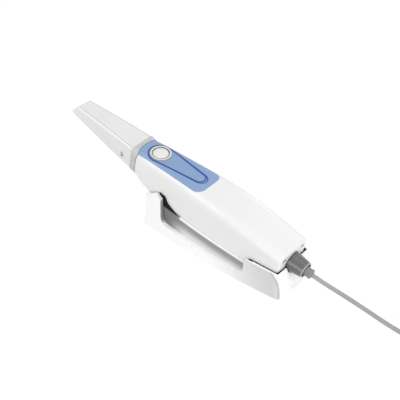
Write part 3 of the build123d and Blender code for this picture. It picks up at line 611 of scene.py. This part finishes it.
def tip_finish():
    """Pale sleeve with a painted shade line along both upper edges and a painted highlight band beside it."""
    material, tree, shader = start_material("tip_plastic")
    place = place_node(tree, "ShaderNodeGroup", node_tree=PLACE)
    height, patch = grain_of(tree, 0.5, 25.0)
    pale = blend_colours(tree, patch, grey(0.720), grey(0.740))
    side = work_out(tree, "ABSOLUTE", place.outputs["Across"])
    edge = work_out(tree, "ADD", work_out(tree, "MULTIPLY", place.outputs["Along"], CREASE_TAPER), CREASE_AT)
    from_crease = work_out(tree, "SUBTRACT", side, edge)
    # Painted shade along the upper edges, with a painted highlight band just below.
    crease_shade = within(tree, from_crease, 0.0, CREASE_HALF, 0.25)
    highlight_strip = within(tree, from_crease, CREASE_STRIP_AT, CREASE_STRIP_HALF, 0.3)
    highlighted = blend_colours(tree, highlight_strip, pale, grey(0.80))
    feed(tree, shader.inputs["Base Color"], blend_colours(tree, crease_shade, highlighted, grey(0.55)))
    feed(tree, shader.inputs["Roughness"], spread(tree, patch, 0.40, 0.50))
    roughen(tree, shader, height, 0.004)
    return material


def facing(tree, axis):
    """1 where a face looks along an axis of the row."""
    normal = place_node(tree, "ShaderNodeNewGeometry").outputs["Normal"]
    parts = place_node(tree, "ShaderNodeSeparateXYZ")
    tree.links.new(normal, parts.inputs[0])
    return fade(tree, parts.outputs[axis], 0.5, 0.85)


def cradle_finish():
    """White cradle with painted shade: sides greyer towards the rear, a darker roll where they end, grey
    backs on the prongs.
    """
    material, tree, shader = start_material("cradle_white")
    place = place_node(tree, "ShaderNodeTexCoord").outputs["Object"]
    desk = place_node(tree, "ShaderNodeMapping", vector_type="TEXTURE")
    desk.inputs["Location"].default_value = row(0.0, 0.0, 0.0)
    desk.inputs["Scale"].default_value = (MM, MM, MM)
    tree.links.new(place, desk.inputs["Vector"])
    parts = place_node(tree, "ShaderNodeSeparateXYZ")
    tree.links.new(desk.outputs[0], parts.inputs[0])
    height, patch = grain_of(tree, 0.5, 60.0)
    white = blend_colours(tree, patch, grey(0.915), grey(0.930))
    wall = work_out(tree, "SUBTRACT", 1.0, facing(tree, "Z"))
    inset = work_out(tree, "SUBTRACT", CRADLE_HALF, work_out(tree, "ABSOLUTE", parts.outputs["Y"]))
    round_corner = work_out(tree, "ADD", parts.outputs["X"], inset)
    rise = work_out(tree, "DIVIDE", parts.outputs["Z"], CRADLE_RIM)
    roll = work_out(tree, "MULTIPLY", work_out(tree, "POWER", rise, 3.0), CRADLE_ROLL)
    to_end = work_out(tree, "SUBTRACT", work_out(tree, "SUBTRACT", CRADLE_END, roll), round_corner)
    before_end = work_out(tree, "MULTIPLY", wall, past(tree, to_end, 0.0, 0.4))
    # Painted shade: the sides grey towards the rear, darkest on the roll where they end.
    rear = fade(tree, to_end, *CRADLE_SHADE)
    shaded = blend_colours(tree, work_out(tree, "MULTIPLY", before_end, rear), white, grey(0.62))
    edge = short_of(tree, to_end, CRADLE_STRIP, 0.7)
    roll_shaded = blend_colours(tree, work_out(tree, "MULTIPLY", before_end, edge), shaded, grey(0.50))
    # Painted shade on the rear faces of the prongs.
    at_prong = short_of(tree, parts.outputs["X"], PRONG_BACK, 3.0)
    prong_back_shade = work_out(tree, "MULTIPLY", facing(tree, "X"), at_prong)
    feed(tree, shader.inputs["Base Color"], blend_colours(tree, prong_back_shade, roll_shaded, grey(0.36)))
    feed(tree, shader.inputs["Roughness"], spread(tree, patch, 0.34, 0.44))
    roughen(tree, shader, height, 0.003)
    return material


def tray_finish():
    """Tray with white rails and painted shade: grey down their sides and darkest behind the prongs."""
    material, tree, shader = start_material("tray_painted_shade")
    place = place_node(tree, "ShaderNodeGroup", node_tree=PLACE)
    along = place.outputs["Along"]
    height, patch = grain_of(tree, 0.5, 40.0)
    white = blend_colours(tree, patch, grey(0.900), grey(0.915))
    # Painted shade: grey down the rail sides below a white top band, darkest behind the prongs.
    rail_top = work_out(tree, "ADD", work_out(tree, "MULTIPLY", along, RAIL_SLOPE), RAIL_FRONT_TOP)
    drop = work_out(tree, "SUBTRACT", rail_top, place.outputs["Above"])
    flank_shade = blend_colours(tree, fade(tree, drop, *RAIL_SHADE), grey(0.28), grey(0.72))
    deep_shade = blend_colours(tree, fade(tree, along, *TRAY_SHADE), grey(0.15), flank_shade)
    below_strip = past(tree, drop, RAIL_STRIP, 0.25)
    before_strip = short_of(tree, along, RAIL_STRIP_START, 1.5)
    below_top = work_out(tree, "MAXIMUM", below_strip, before_strip)
    feed(tree, shader.inputs["Base Color"], blend_colours(tree, below_top, white, deep_shade))
    feed(tree, shader.inputs["Roughness"], spread(tree, patch, 0.40, 0.50))
    roughen(tree, shader, height, 0.003)
    return material


def shade_liner_finish():
    """Dull black soft rubber of the liners, made black to serve as painted shade in the gaps between
    handpiece and cradle.
    """
    material, tree, shader = start_material("liner_rubber")
    height, patch = grain_of(tree, 0.4, 6.0)
    feed(tree, shader.inputs["Base Color"], blend_colours(tree, patch, grey(0.006), grey(0.010)))
    feed(tree, shader.inputs["Roughness"], spread(tree, patch, 0.60, 0.75))
    shader.inputs["Specular IOR Level"].default_value = 0.12
    roughen(tree, shader, height, 0.012)
    return material


def bezel_finish():
    """Pale ring round the button with painted shade at its outer edge and in the dark recess next to the
    button.
    """
    material, tree, shader = start_material("bezel_grey")
    place = place_node(tree, "ShaderNodeGroup", node_tree=PLACE)
    back = work_out(tree, "SUBTRACT", place.outputs["Along"], BUTTON_AT)
    from_middle = distance(tree, place.outputs["Across"], back)
    height, patch = grain_of(tree, 0.4, 8.0)
    ring = blend_colours(tree, patch, (0.62, 0.60, 0.57, 1.0), (0.65, 0.63, 0.60, 1.0))
    # Painted shade: a darker outer edge, and a dark recess between ring and button.
    outer = past(tree, from_middle, BEZEL_EDGE_R, 0.3)
    edge_shaded = blend_colours(tree, outer, ring, (0.30, 0.31, 0.34, 1.0))
    well_shade = short_of(tree, from_middle, BUTTON_WELL_R, 0.2)
    feed(tree, shader.inputs["Base Color"], blend_colours(tree, well_shade, edge_shaded, (0.05, 0.04, 0.035, 1.0)))
    feed(tree, shader.inputs["Roughness"], spread(tree, patch, 0.30, 0.38))
    roughen(tree, shader, height, 0.003)
    return material


def board_finish():
    """Circuit board: solder resist over copper tracks and small tinned pads."""
    material, tree, shader = start_material("board_green")
    place = place_node(tree, "ShaderNodeTexCoord").outputs["Object"]
    tracks = place_node(tree, "ShaderNodeTexBrick")
    tracks.inputs["Scale"].default_value = 260.0
    tracks.inputs["Mortar Size"].default_value = 0.035
    tree.links.new(place, tracks.inputs["Vector"])
    pads = place_node(tree, "ShaderNodeTexVoronoi")
    pads.inputs["Scale"].default_value = 420.0
    tree.links.new(place, pads.inputs["Vector"])
    pad = short_of(tree, pads.outputs["Distance"], 0.12, 0.02)
    bare = (0.012, 0.130, 0.055, 1.0)
    over_copper = (0.035, 0.240, 0.095, 1.0)
    resist = blend_colours(tree, tracks.outputs["Fac"], bare, over_copper)
    feed(tree, shader.inputs["Base Color"], blend_colours(tree, pad, resist, (0.62, 0.60, 0.52, 1.0)))
    feed(tree, shader.inputs["Roughness"], spread(tree, pad, 0.28, 0.40))
    feed(tree, shader.inputs["Metallic"], pad)
    roughen(tree, shader, tracks.outputs["Fac"], 0.03)
    return material


def woven_finish():
    """Woven band of the tie: crossing threads."""
    material, tree, shader = start_material("tie_fabric")
    place = place_node(tree, "ShaderNodeTexCoord").outputs["Object"]
    weave = []
    for direction in ("X", "Z"):
        threads = place_node(tree, "ShaderNodeTexWave", bands_direction=direction)
        threads.inputs["Scale"].default_value = 420.0
        threads.inputs["Distortion"].default_value = 0.6
        tree.links.new(place, threads.inputs["Vector"])
        weave.append(threads.outputs["Fac"])
    height = work_out(tree, "MULTIPLY", weave[0], weave[1])
    feed(tree, shader.inputs["Base Color"], blend_colours(tree, height, grey(0.030), grey(0.070)))
    feed(tree, shader.inputs["Roughness"], spread(tree, height, 0.95, 0.75))
    shader.inputs["Sheen Weight"].default_value = 0.3
    roughen(tree, shader, height, 0.10)
    return material


def mirror_finish():
    """Front-silvered mirror with the faintest haze."""
    material, tree, shader = start_material("mirror_glass")
    height, patch = grain_of(tree, 1.5, 6.0)
    feed(tree, shader.inputs["Base Color"], blend_colours(tree, patch, grey(0.86), grey(0.90)))
    feed(tree, shader.inputs["Roughness"], spread(tree, patch, 0.02, 0.05))
    shader.inputs["Metallic"].default_value = 1.0
    roughen(tree, shader, height, 0.0002)
    return material


def glass_finish():
    """Coated clear glass of the nose."""
    material, tree, shader = start_material("clear_glass")
    height, patch = grain_of(tree, 1.5, 6.0)
    tint = blend_colours(tree, patch, (0.86, 0.91, 0.93, 1.0), (0.90, 0.93, 0.95, 1.0))
    feed(tree, shader.inputs["Base Color"], tint)
    feed(tree, shader.inputs["Roughness"], spread(tree, patch, 0.02, 0.04))
    shader.inputs["Transmission Weight"].default_value = 1.0
    shader.inputs["IOR"].default_value = 1.5
    roughen(tree, shader, height, 0.0002)
    return material


FINISHES = {
    "tip_plastic": tip_finish(),
    "mirror_glass": mirror_finish(),
    "latch_grey": moulded("latch_grey", grey(0.60), grey(0.64), 0.42, 0.52, patch_mm=4.0),
    "nose_black": moulded("nose_black", grey(0.020), grey(0.032), 0.60, 0.72, patch_mm=10.0, depth_mm=0.01),
    "clear_glass": glass_finish(),
    "collar_grey": collar_finish(),
    "shell_white": shell_finish(),
    "inlay_blue": inlay_finish(),
    "bezel_grey": bezel_finish(),
    "button_white": moulded(
        "button_white", grey(0.73), (0.75, 0.755, 0.755, 1.0), 0.10, 0.16,
        patch_mm=10.0, depth_mm=0.001, coat=0.5,
    ),
    "switch_black": moulded("switch_black", grey(0.030), grey(0.048), 0.40, 0.50, patch_mm=3.0),
    "board_green": board_finish(),
    "screw_steel": brushed("screw_steel", grey(0.48), grey(0.60), 0.28, 0.40),
    "chassis_aluminium": brushed("chassis_aluminium", grey(0.62), grey(0.74), 0.34, 0.48),
    "optics_black": moulded("optics_black", grey(0.018), grey(0.028), 0.34, 0.44, patch_mm=6.0),
    "relief_rubber": relief_finish(),
    "bush_grey": moulded("bush_grey", grey(0.22), grey(0.25), 0.38, 0.46, patch_mm=4.0),
    "cord_grey": moulded(
        "cord_grey", grey(0.31), grey(0.35), 0.40, 0.50, grain_mm=0.3, patch_mm=15.0, depth_mm=0.006
    ),
    "tie_fabric": woven_finish(),
    "plug_grey": moulded(
        "plug_grey", grey(0.46), grey(0.50), 0.42, 0.52, grain_mm=0.3, patch_mm=8.0, depth_mm=0.008
    ),
    "plug_steel": brushed("plug_steel", grey(0.62), grey(0.72), 0.18, 0.28),
    "cradle_white": cradle_finish(),
    "liner_rubber": shade_liner_finish(),
}

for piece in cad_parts.values():
    for slot in piece.material_slots:
        finish = slot.material.name.split(".")[0] if slot.material else ""
        if finish in FINISHES:
            slot.material = FINISHES[finish]
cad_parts["cradle_tray"].material_slots[0].material = tray_finish()

for node, name, line, finish in (
    ("cradle", "cradle_shell", PRONG_LINE, "cradle_white"),
    ("front_liner", "prong_shade_liner", SHADE_LINER_LINE, "liner_rubber"),
):
    piece = lowered(node, name, line)
    piece.data.materials.clear()
    piece.data.materials.append(FINISHES[finish])
    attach(piece, "root")
    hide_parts(node)

cord_line = make_cord()
cord_line.data.materials.append(FINISHES["cord_grey"])
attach(cord_line, "root")
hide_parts("cord", "cord_coil")

coil_band = make_tie()
coil_band.data.materials.append(FINISHES["tie_fabric"])
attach(coil_band, "root")
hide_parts("cord_tie")


# Floor, world and lamps

FLOOR_REACH = 6.0
FLOOR_DROP = 0.0002


def background_share(tree):
    """1 for the rays that see the pale studio rather than light the object with it."""
    path = place_node(tree, "ShaderNodeLightPath")
    seen = work_out(tree, "MAXIMUM", path.outputs["Is Camera Ray"], path.outputs["Is Glossy Ray"])
    return work_out(tree, "MAXIMUM", seen, path.outputs["Is Transmission Ray"])


def make_floor():
    """Plain pale floor that keeps a faint shadow."""
    mesh = bpy.data.meshes.new("floor")
    corners = [(x * FLOOR_REACH, y * FLOOR_REACH, 0) for x, y in ((-1, -1), (1, -1), (1, 1), (-1, 1))]
    mesh.from_pydata(corners, [], [(0, 1, 2, 3)])
    floor = bpy.data.objects.new("floor", mesh)
    bpy.context.collection.objects.link(floor)
    floor.location.z = -FLOOR_DROP
    material = bpy.data.materials.new("floor")
    material.use_nodes = True
    tree = material.node_tree
    tree.nodes.clear()
    output = place_node(tree, "ShaderNodeOutputMaterial")
    seen_light = place_node(tree, "ShaderNodeEmission")
    seen_light.inputs["Strength"].default_value = 0.88
    seen_shade = place_node(tree, "ShaderNodeBsdfDiffuse")
    seen_shade.inputs["Color"].default_value = grey(0.14)
    seen = place_node(tree, "ShaderNodeAddShader")
    tree.links.new(seen_light.outputs[0], seen.inputs[0])
    tree.links.new(seen_shade.outputs[0], seen.inputs[1])
    bounce = place_node(tree, "ShaderNodeBsdfDiffuse")
    bounce.inputs["Color"].default_value = grey(0.80)
    choice = place_node(tree, "ShaderNodeMixShader")
    tree.links.new(background_share(tree), choice.inputs[0])
    tree.links.new(bounce.outputs[0], choice.inputs[1])
    tree.links.new(seen.outputs[0], choice.inputs[2])
    tree.links.new(choice.outputs[0], output.inputs["Surface"])
    mesh.materials.append(material)


def make_world():
    """White studio round the object, with a softer light from it."""
    world = bpy.data.worlds.new("studio")
    bpy.context.scene.world = world
    world.use_nodes = True
    tree = world.node_tree
    tree.nodes.clear()
    output = place_node(tree, "ShaderNodeOutputWorld")
    light = place_node(tree, "ShaderNodeBackground")
    light.inputs["Color"].default_value = grey(1.0)
    light.inputs["Strength"].default_value = 0.60
    backdrop = place_node(tree, "ShaderNodeBackground")
    backdrop.inputs["Color"].default_value = grey(1.0)
    backdrop.inputs["Strength"].default_value = 1.0
    choice = place_node(tree, "ShaderNodeMixShader")
    tree.links.new(background_share(tree), choice.inputs[0])
    tree.links.new(light.outputs[0], choice.inputs[1])
    tree.links.new(backdrop.outputs[0], choice.inputs[2])
    tree.links.new(choice.outputs[0], output.inputs["Surface"])


def make_lamp(name, place, width, height, power):
    """Soft lamp that faces the object."""
    data = bpy.data.lights.new(name, "AREA")
    data.shape = "RECTANGLE"
    data.size = width
    data.size_y = height
    data.energy = power
    lamp = bpy.data.objects.new(name, data)
    lamp.location = place
    lamp.rotation_euler = (Vector(place) - AIM).to_track_quat("Z", "Y").to_euler()
    bpy.context.collection.objects.link(lamp)


make_floor()
make_world()
make_lamp("key", (-0.75, -0.85, 1.25), 0.9, 0.9, 7.5)
make_lamp("top", (0.25, 0.35, 1.60), 1.0, 1.0, 2.0)
make_lamp("rear", (1.30, -0.10, 0.50), 0.8, 0.8, 8.5)
make_lamp("near", (0.10, -1.10, 0.35), 0.22, 0.60, 1.7)
make_lamp("far", (-0.15, 0.95, 0.60), 0.25, 0.60, 1.4)

bpy.context.scene.view_settings.view_transform = "Standard"
